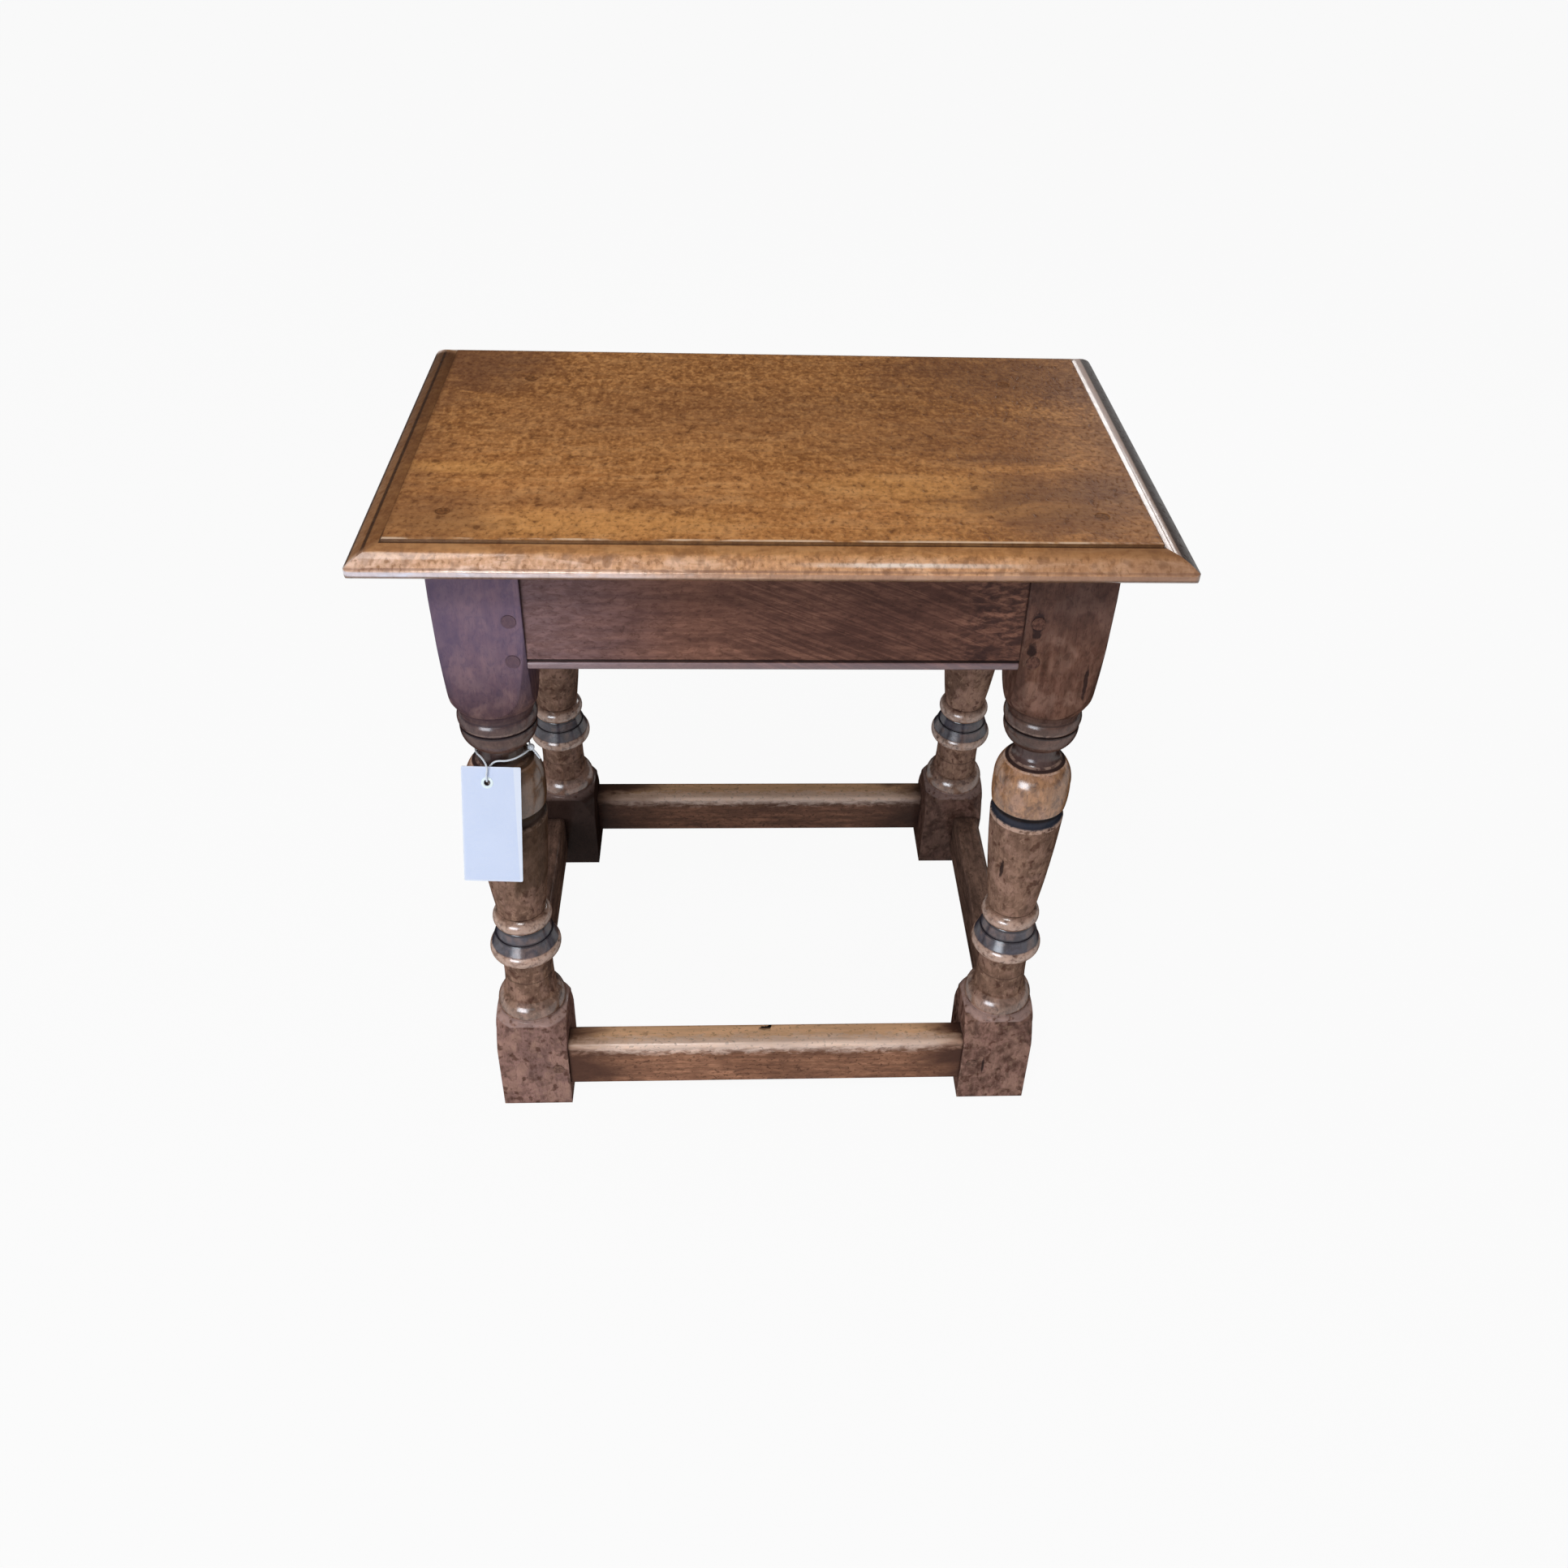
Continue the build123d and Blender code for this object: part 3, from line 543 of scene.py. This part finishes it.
# thin lines round the leg, with a strength each
DISH_RIDGES = [(0.1505, 0.1522, 0.0005, 1.0), (0.1580, 0.1600, 0.0006, 1.0)]
DARK_LINES = [(0.1135, 0.1140, 0.0006, 0.5), (0.2948, 0.2955, 0.0004, 0.7), (0.3228, 0.3244, 0.0006, 1.0),
              (0.3325, 0.3330, 0.0005, 0.6)]
PALE_RIMS = [(0.1350, 0.1425, 0.0012, 0.9), (0.1630, 0.1690, 0.0020, 0.75), (0.2500, 0.2526, 0.0006, 1.0),
             (0.2936, 0.2943, 0.0004, 0.8), (0.2960, 0.2966, 0.0004, 0.5), (0.3250, 0.3262, 0.0006, 0.3)]

# how far the square head stands out from the leg's middle, from its shoulder up
HEAD = [((0.3389, 0.0246), (0.3579, 0.0315), 0.0013), ((0.3579, 0.0315), (0.4199, 0.03575), 0.0011)]

# knocks and cracks on the front faces: the middle's x and z, half the width and half the height
KNOCKS = [(0.1490, 0.4045, 0.0032, 0.010), (0.1475, 0.388, 0.0028, 0.006), (0.182, 0.366, 0.0013, 0.012),
          (0.158, 0.036, 0.0009, 0.009), (0.152, 0.215, 0.0009, 0.009)]


def leg_figure(oak):
    """The legs' figure: what all the oak has, and their own mottle, specks, blushes and blotches."""
    tone, streaks, pores = oak_figure(oak, oak.z, oak.x, oak.y)
    mottle = oak.cloud(oak.x * 140, oak.y * 140, oak.z * 95, 4.0, 0.62, 0.5)
    specks = oak.cloud(oak.x * 270, oak.y * 270, oak.z * 200, 2.0, 0.5, 0.5)
    blushes = oak.cloud(oak.x * 75, oak.y * 75, oak.z * 55, 2.0, 0.5, 0.4)
    blotches = oak.cloud(oak.x * 170, oak.y * 170, oak.z * 140, 2.0, 0.5, 0.3)
    return SimpleNamespace(
        tone=tone, streaks=streaks, pores=pores, mottle=oak.between(mottle, 0.36, 0.64),
        dark_specks=oak.between(specks, 0.55, 0.66), pale_specks=oak.between(specks, 0.44, 0.33),
        blushes=oak.between(blushes, 0.46, 0.64), blotches=oak.between(blotches, 0.56, 0.68),
        ragged=oak.cloud(oak.x * 260, oak.y * 260, oak.z * 260, 3.0, 0.6))


def leg_places(oak):
    """Places on the legs: which leg, how far up and out from its middle, and the parts of its turning."""
    up, out_y = along_the_lean(oak)
    out_x = abs(oak.x) - LEG_X
    radius = (out_x ** 2 + out_y ** 2) ** 0.5
    left, front = oak.between(oak.x, 0.01, -0.01), oak.between(oak.y, 0.01, -0.01)
    return SimpleNamespace(
        up=up, radius=radius, left=left, right=1 - left, front=front, rear=1 - front,
        block=oak.between(up, 0.336, 0.342), foot=oak.between(up, 0.088, 0.078),
        bulb=oak.band(up, *BULB), dish=oak.band(up, *DISH) * oak.between(radius, 0.0238, 0.0228),
        scotia=oak.band(up, *SCOTIA), dark_lines=oak.lines(up, DARK_LINES))


def leg_wood(oak, figure, at):
    """Tan turning, an amber bulb, rusty feet, umber blocks above, and a dark collar under them."""
    block, foot = at.block, at.foot
    tan, rust, umber, dark_collar = (oak.mix(figure.tone, *shades) for shades in (
        (LEG.dark_tan, LEG.tan), (LEG.dark_rust, LEG.rust), (LEG.dark_umber, LEG.umber),
        (LEG.dark_collar, LEG.collar)))
    colour = oak.mix(at.bulb * 0.7, tan, LEG.amber)
    colour = oak.mix(foot * 0.8, colour, rust)
    colour = oak.mix(foot * at.left * 0.14, colour, LEG.left_foot)
    colour = oak.mix(block, colour, umber)
    colour = oak.mix(figure.streaks * (0.18 + block * 0.3), colour, LEG.streak)
    colour = oak.mix(figure.mottle * (0.42 + foot * at.right * 0.34), colour, LEG.mottle)
    colour = oak.mix(figure.pale_specks * (0.32 - block * 0.28 - foot * 0.1), colour, LEG.pale_speck)
    colour = oak.mix(figure.blushes * (0.38 - block * 0.15), colour, LEG.blush)
    colour = oak.mix(figure.blotches * (0.75 - block * 0.3 - at.bulb * 0.2), colour, LEG.blotch)
    colour = oak.mix(oak.band(at.up, *COLLAR) * 0.8, colour, dark_collar)
    return oak.mix((figure.pores * 0.3).larger(figure.dark_specks * 0.35), colour, LEG.pore)


def leg_lines(oak, figure, at, colour):
    """Painted shade and reflection, blue-black, in the turned hollows; pale rims beside them are worn and
    painted with sheen.
    """
    hollow_shade = oak.mix(figure.mottle * 0.7, LEG.blue_hollow_shade, LEG.black_hollow_shade)
    colour = oak.mix(at.dish * (0.9 - figure.blushes * 0.25), colour, hollow_shade)
    colour = oak.mix(oak.lines(at.up, DISH_RIDGES) * 0.85, colour, LEG.ridge)
    # painted shadow at the top of the scotia, under the bulb
    scotia_shade = oak.mix(oak.between(at.up, 0.2560, 0.2590), LEG.scotia, LEG.scotia_overhang_shadow)
    colour = oak.mix(at.scotia * 0.95, colour, scotia_shade)
    # painted shade on the neck's cove above the bulb
    colour = oak.mix(oak.band(at.up, *DOME) * 0.85, colour, LEG.dome_shade)
    colour = oak.mix(at.dark_lines * 0.8, colour, LEG.dark_line)
    arrises = oak.between(oak.arrises(0.003) + (figure.ragged - 0.5) * 0.5, 0.40, 0.74)
    # pale rims and edges, worn, with a painted sheen on the rims
    rims = oak.lines(at.up, PALE_RIMS) * oak.between(figure.ragged, 0.35, 0.55)
    rubbed_and_sheen = rims.larger(arrises * (1 - at.dish * 0.8) * (1 - at.scotia))
    colour = oak.mix(rubbed_and_sheen * 0.68, colour, LEG.rubbed_and_sheen)
    # painted shade on the square blocks' rounded shoulders, darker than their flat faces
    head = strongest(oak.outline(at.up, *part) for part in HEAD)
    shoulder = at.block * oak.between(head - at.radius, 0.0016, -0.0004)
    colour = oak.mix(shoulder * 0.4, colour, LEG.shoulder)
    arch = oak.band(at.up, *ARCH) * oak.between(figure.ragged, 0.3, 0.5)
    return oak.mix(arch * 0.55, colour, LEG.arch)


def leg_oak():
    """The legs' oak, which changes up the leg: handled and worn below, dark above, with painted shade in the
    turned hollows, at the rear and where the tag hangs.
    """
    oak = Finish("turned oak legs")
    figure, at = leg_figure(oak), leg_places(oak)
    colour = leg_lines(oak, figure, at, leg_wood(oak, figure, at))
    knocks = strongest(oak.spot(*place, figure.ragged) for place in KNOCKS)
    colour = oak.mix(knocks * 0.85, colour, LEG.knock)
    # painted shadow of the tag, on the left front leg beside it
    tag_shadow = oak.band(oak.x, *TAG_SHADOW_X) * at.front * oak.band(at.up, *TAG_SHADOW_UP)
    colour = oak.mix(tag_shadow * 0.7, colour, LEG.tag_shadow_brown)
    # darker where pieces meet: soiling and painted shade
    joint_dirt_and_shade = oak.between(oak.joints(0.010), 0.28, 0.70)
    colour = oak.mix(joint_dirt_and_shade * 0.92, colour, LEG.joint_dirt_and_shade)
    # painted shade on the rear legs, most on their feet and on the left one
    dim = at.rear * (at.left * 0.15 + at.foot * (0.5 + at.left * 0.3))
    colour = oak.mix(dim, colour, LEG.rear)
    # the right legs darker near their tops
    darker_upper_right = at.right * oak.between(at.up + (figure.tone - 0.5) * 0.02, 0.375, 0.42)
    colour = oak.mix(darker_upper_right * 0.55, colour, LEG.upper_right_dark)
    # painted bluish sheen on the front left leg's block
    painted_cool_sheen = at.left * at.front * oak.between(at.up, 0.31, 0.40)
    colour = oak.mix(painted_cool_sheen * 0.6, colour, LEG.painted_cool_sheen)
    holes = strongest([figure.pores * 0.4, figure.dark_specks * 0.4, figure.blotches * 0.6])
    height = 1 - holes - figure.mottle * 0.3 - at.dark_lines * 0.8 - knocks
    # hands and feet have polished whatever stands out
    polished = strongest([
        oak.band(at.up, *POLISHED_ANKLE), oak.band(at.up, *POLISHED_RINGS) - at.dish * 0.25, at.bulb,
        oak.band(at.up, *POLISHED_NECK) * 0.5])
    return oak.wear(Base_Color=colour, Roughness=0.4 + figure.mottle * 0.1, Specular_IOR_Level=0.0,
                    Coat_Weight=(0.08 + polished * 0.92 - at.block * 0.03) * oak.gloss(),
                    Coat_Roughness=0.2, Coat_IOR=1.65, Normal=oak.relief(height, 0.00022, 0.0014))


# ---------------------------------------------------------------- pegs


def peg_oak(name, light, dark):
    """Driven pegs: end grain a little darker than the wood around it, with a painted bluish sheen on the front
    left leg.
    """
    oak = Finish(name)
    rings = oak.cloud(oak.x * 520, oak.y * 520, oak.z * 520, 3.0, 0.6)
    colour = oak.mix(oak.between(rings, 0.38, 0.62), dark, light)
    # painted bluish sheen, as on the block around these pegs
    painted_cool_sheen = oak.between(oak.x, 0.0, -0.02) * oak.between(oak.y, 0.0, -0.02) * oak.band(oak.z, 0.34, 0.43, 0.02)
    colour = oak.mix(painted_cool_sheen * 0.6, colour, (0.15, 0.10, 0.14))
    return oak.wear(Base_Color=colour, Roughness=0.38 + rings * 0.1, Specular_IOR_Level=0.04,
                    Normal=oak.relief(rings, 0.0002))


# ---------------------------------------------------------------- card and string


def blank_card():
    card = Finish("blank card")
    fibres = card.cloud(card.x * 900, card.y * 900, card.z * 900, 4.0, 0.6)
    clouds = card.cloud(card.x * 40, card.y * 40, card.z * 40, 3.0, 0.5)
    colour = card.mix(card.between(clouds, 0.3, 0.7), (0.55, 0.655, 0.92), (0.59, 0.685, 0.94))
    colour = card.mix(card.between(fibres, 0.55, 0.75) * 0.2, colour, (0.55, 0.61, 0.75))
    # the right margin is paler
    margin = card.between(card.x + (card.z - 0.3004) * 0.021, -0.1573, -0.1569)
    edges = card.between(card.arrises(0.0012), 0.55, 0.9)
    colour = card.mix(edges.larger(margin) * 0.75, colour, (0.88, 0.91, 0.98))
    return card.wear(Base_Color=colour, Roughness=0.75 + fibres * 0.1, Specular_IOR_Level=0.25,
                     Normal=card.relief(fibres, 0.00006))


def ring_paper():
    paper = Finish("reinforcing ring paper")
    fibres = paper.cloud(paper.x * 1200, paper.y * 1200, paper.z * 1200, 3.0, 0.6)
    colour = paper.mix(paper.between(fibres, 0.35, 0.7), (0.80, 0.90, 0.93), (0.88, 0.96, 0.96))
    return paper.wear(Base_Color=colour, Roughness=0.65 + fibres * 0.1, Normal=paper.relief(fibres, 0.00005))


def cotton():
    cotton = Finish("twisted cotton")
    plies = cotton.cloud(cotton.x * 2200, cotton.y * 2200, cotton.z * 2200, 3.0, 0.6)
    colour = cotton.mix(cotton.between(plies, 0.35, 0.65), (0.70, 0.74, 0.80), (0.90, 0.93, 0.97))
    return cotton.wear(Base_Color=colour, Roughness=0.85 + plies * 0.05, Normal=cotton.relief(plies, 0.0002))


def give(piece, material):
    piece.data.materials.clear()
    piece.data.materials.append(material)


# a node takes the finish whose name is the longest one that its own starts with
FINISHES = {
    "seat_top": board_oak(),
    "top_pegs": peg_oak("end grain of the top pegs", light=(0.30, 0.125, 0.045), dark=(0.17, 0.070, 0.028)),
    "leg": leg_oak(),
    "apron_pegs": peg_oak("end grain of the apron pegs",
                          light=(0.150, 0.072, 0.052), dark=(0.075, 0.036, 0.028)),
    "stretcher_pegs": peg_oak("end grain of the stretcher pegs",
                              light=(0.25, 0.138, 0.100), dark=(0.13, 0.072, 0.055)),
    "apron_front": rail_oak(
        "dark oak front apron", light=(0.34, 0.158, 0.105), dark=(0.165, 0.074, 0.052),
        grime_and_shade=(0.052, 0.022, 0.018), figured=True, worn_amount=0.3),
    "apron_rear": rail_oak(
        "dark oak rear apron", light=(0.19, 0.085, 0.055), dark=(0.090, 0.041, 0.028),
        grime_and_shade=(0.042, 0.020, 0.016), worn_amount=0.25),
    "apron": rail_oak(
        "dark oak side aprons", light=(0.19, 0.085, 0.055), dark=(0.090, 0.041, 0.028),
        grime_and_shade=(0.042, 0.020, 0.016), along_y=True, worn_amount=0.25),
    "stretcher_front": rail_oak(
        "foot-worn front stretcher", light=(0.60, 0.290, 0.168), dark=(0.35, 0.160, 0.090),
        grime_and_shade=(0.085, 0.038, 0.026), foot_wear_and_light=0.95),
    "stretcher_rear": rail_oak(
        "rear stretcher", light=(0.38, 0.180, 0.110), dark=(0.190, 0.088, 0.058),
        grime_and_shade=(0.060, 0.030, 0.022), worn_amount=0.7, foot_wear_and_light=0.75, edge_out=0.0015),
    "stretcher": rail_oak(
        "side stretchers", light=(0.34, 0.200, 0.145), dark=(0.110, 0.062, 0.048),
        grime_and_shade=(0.022, 0.013, 0.010), along_y=True, worn_amount=0.9, dull=0.35),
    "string_knot": cotton(),
    "swing_tag": blank_card(),
    "tag_eyelet": ring_paper(),
}
for name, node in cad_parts.items():
    kinds = [kind for kind in FINISHES if name.startswith(kind)]
    if kinds:
        give(node, FINISHES[max(kinds, key=len)])
give(tag_string, FINISHES["string_knot"])

# ---------------------------------------------------------------- floor and light


FLOOR_SIZE, FLOOR_GREY, FLOOR_WHITENESS = 40, 0.65, 0.94


def add_floor():
    """A floor that is white to the camera and in reflections, and keeps a trace of the stool's shadow."""
    bpy.ops.mesh.primitive_plane_add(size=FLOOR_SIZE)
    floor = bpy.context.object
    floor.name = "floor"
    finish = Finish("white floor")
    finish.wear(Base_Color=(FLOOR_GREY, FLOOR_GREY, FLOOR_GREY, 1), Roughness=0.9, Specular_IOR_Level=0.0)
    path = finish.tree.nodes.new("ShaderNodeLightPath")
    seen = Value(finish, path.outputs["Is Camera Ray"]) + Value(finish, path.outputs["Is Glossy Ray"])
    seen = seen + Value(finish, path.outputs["Is Transmission Ray"])
    glow = finish.tree.nodes.new("ShaderNodeEmission")
    mixed = finish.tree.nodes.new("ShaderNodeMixShader")
    finish.tree.links.new((seen.smaller(1) * FLOOR_WHITENESS).socket, mixed.inputs[0])
    finish.tree.links.new(finish.shader.outputs[0], mixed.inputs[1])
    finish.tree.links.new(glow.outputs[0], mixed.inputs[2])
    finish.tree.links.new(mixed.outputs[0], finish.tree.nodes["Material Output"].inputs["Surface"])
    floor.data.materials.append(finish.material)


def add_area_light(name, place, target, size, watts, colour=(1, 1, 1), only_glints=False):
    """A lamp that the camera doesn't see. One that only glints shows in polish and doesn't light the wood."""
    light = bpy.data.lights.new(name, "AREA")
    light.shape = "RECTANGLE"
    light.size, light.size_y = size
    light.energy = watts
    light.color = colour
    lamp = bpy.data.objects.new(name, light)
    direction = Vector(target) - Vector(place)
    lamp.rotation_euler = direction.to_track_quat("-Z", "Y").to_euler()
    lamp.location = place
    lamp.visible_camera = False
    lamp.visible_diffuse = not only_glints
    bpy.context.scene.collection.objects.link(lamp)


# the room behind and in front of the stool: a direction's y, and how bright it is there
ROOM_BEHIND, ROOM_IN_FRONT = 0.30, -0.90
DIM, PALE = 0.09, 0.38


def add_world():
    """White to the camera. To light and reflections it is a room, pale in front and dim behind."""
    world = bpy.data.worlds.new("studio")
    bpy.context.scene.world = world
    world.use_nodes = True
    nodes, links = world.node_tree.nodes, world.node_tree.links
    place = nodes.new("ShaderNodeTexCoord")
    parts = nodes.new("ShaderNodeSeparateXYZ")
    room = nodes.new("ShaderNodeMapRange")
    room.interpolation_type = "SMOOTHSTEP"
    for socket, value in zip(list(room.inputs)[1:5], (ROOM_BEHIND, ROOM_IN_FRONT, DIM, PALE)):
        socket.default_value = value
    path = nodes.new("ShaderNodeLightPath")
    brightness = nodes.new("ShaderNodeMath")
    brightness.operation = "MAXIMUM"
    links.new(place.outputs["Generated"], parts.inputs[0])
    links.new(parts.outputs["Y"], room.inputs[0])
    links.new(room.outputs[0], brightness.inputs[0])
    links.new(path.outputs["Is Camera Ray"], brightness.inputs[1])
    nodes["Background"].inputs["Color"].default_value = (1, 1, 1, 1)
    links.new(brightness.outputs[0], nodes["Background"].inputs["Strength"])


add_floor()
add_area_light("left window", (-1.0, -1.9, 0.42), (0, -0.1, 0.25), (1.15, 0.85), 15.2, (0.82, 0.90, 1.0))
add_area_light("window panes", (-1.0, -1.8, 0.42), (0, -0.1, 0.25), (0.85, 0.75), 18.0, (0.86, 0.92, 1.0),
               only_glints=True)
add_area_light("front window", (-0.3, -1.5, 0.62), (-0.1, 0, 0.35), (0.9, 0.2), 1.2, (0.90, 0.94, 1.0))
add_area_light("top light", (-0.3, -1.0, 1.75), (0, 0, 0.35), (0.5, 0.3), 9.5)
add_area_light("ceiling light", (-0.55, 0.05, 1.75), (-0.2, -0.1, 0.45), (0.4, 0.3), 2.4, (1.0, 0.95, 0.93))
add_area_light("rear window", (0.82, 1.25, 0.92), (0.2, 0, 0.455), (0.50, 0.24), 2.8)
add_world()
bpy.context.scene.view_settings.view_transform = "Standard"
